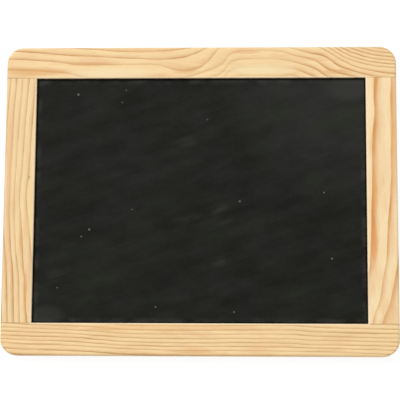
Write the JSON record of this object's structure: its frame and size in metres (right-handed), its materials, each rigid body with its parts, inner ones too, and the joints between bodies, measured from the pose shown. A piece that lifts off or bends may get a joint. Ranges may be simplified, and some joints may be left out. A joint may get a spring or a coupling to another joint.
{
  "type": "slate writing board",
  "caption": "Rectangular slate sheet held in a grooved, round-cornered pine frame with slot-and-tenon corners, for writing on with chalk or a slate pencil.",
  "frame": {"origin": "middle of the frame's back face, on the surface that the board lies on", "axes": "+Z out of the writing face, +X along the rails to the reader's right, +Y towards the top rail"},
  "size_m": [0.24, 0.19, 0.009],
  "materials": {
    "pine": "bare sanded pine",
    "slate": "honed natural slate"
  },
  "bodies": {
    "root": {"top_rail": "pine", "bottom_rail": "pine", "left_stile": "pine", "right_stile": "pine", "slate_panel": "slate"}
  },
  "joints": []
}
